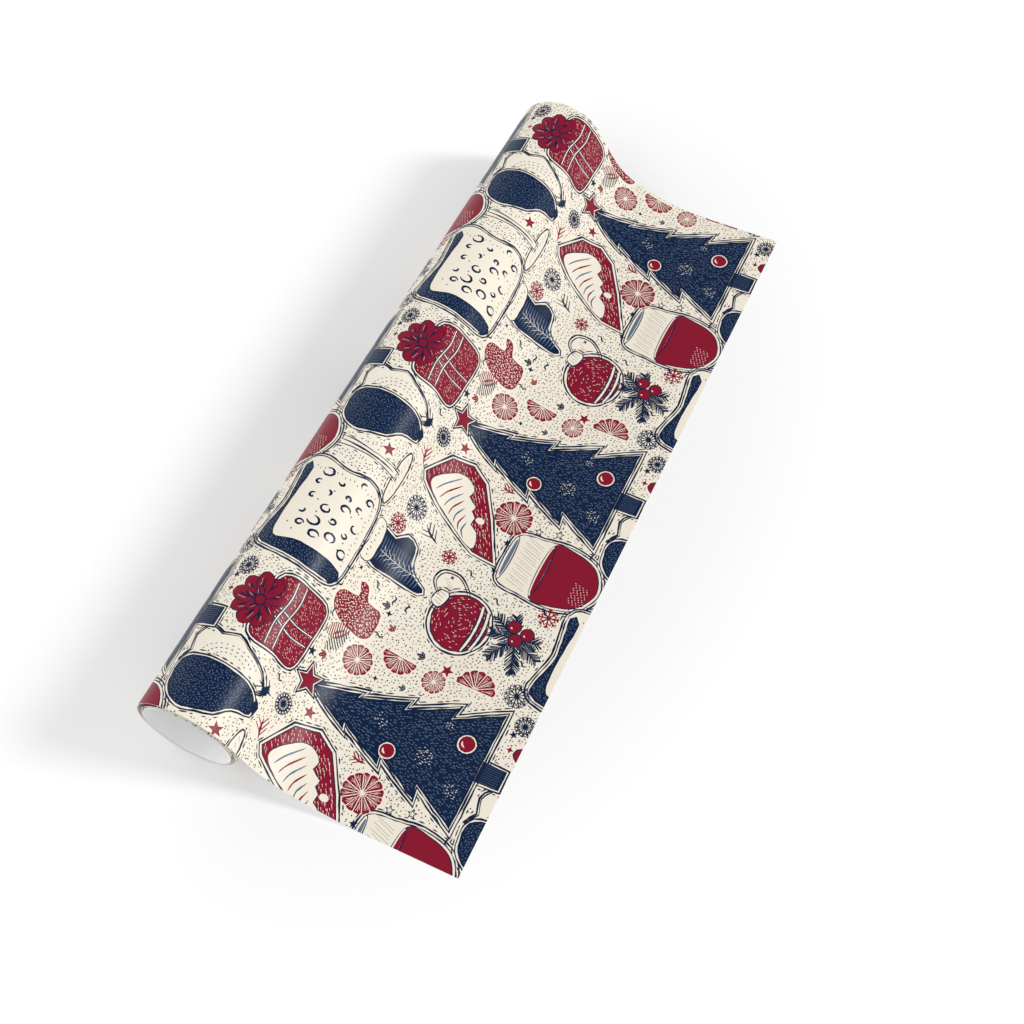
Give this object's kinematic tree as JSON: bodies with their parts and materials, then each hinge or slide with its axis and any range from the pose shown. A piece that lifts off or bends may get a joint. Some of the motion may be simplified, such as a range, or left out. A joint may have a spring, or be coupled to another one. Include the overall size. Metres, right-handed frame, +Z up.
{
  "type": "wrapping paper roll",
  "caption": "Coreless roll of printed gift wrap lying on a table, with its free end flared down and drawn out flat; turns telescope and the free end lifts.",
  "frame": {"origin": "on the table, in the middle of the object's footprint", "axes": "+X across the roll towards the free edge, +Y along the roll, +Z up"},
  "size_m": [0.2999, 0.762, 0.0972],
  "materials": {
    "printed_paper": "satin, printed on the outer face, plain white on the inner face"
  },
  "bodies": {
    "roll": {"outer_turn": "printed_paper"},
    "flare": {"flared_sheet": "printed_paper"},
    "free_end": {"flat_sheet": "printed_paper"},
    "middle": {"middle_turn": "printed_paper"},
    "inner": {"inner_turn": "printed_paper"}
  },
  "joints": [
    {"name": "flare_lift", "type": "hinge", "parent": "roll", "child": "flare", "pos_m": [-0.05704, 0, 0.07146], "axis": [0, -1, 0], "range_deg": [0, 60]},
    {"name": "free_end_lift", "type": "hinge", "parent": "flare", "child": "free_end", "pos_m": [0.06802, 0, 0.0006], "axis": [0, -1, 0], "range_deg": [0, 90]},
    {"name": "middle_turn_slide", "type": "slide", "parent": "roll", "child": "middle", "axis": [0, -1, 0], "range_m": [-0.04, 0.04]},
    {"name": "inner_turn_slide", "type": "slide", "parent": "middle", "child": "inner", "axis": [0, -1, 0], "range_m": [-0.04, 0.04]}
  ],
  "couplings": [
    {"joint": "inner_turn_slide", "follows": "middle_turn_slide", "ratio": 1}
  ]
}
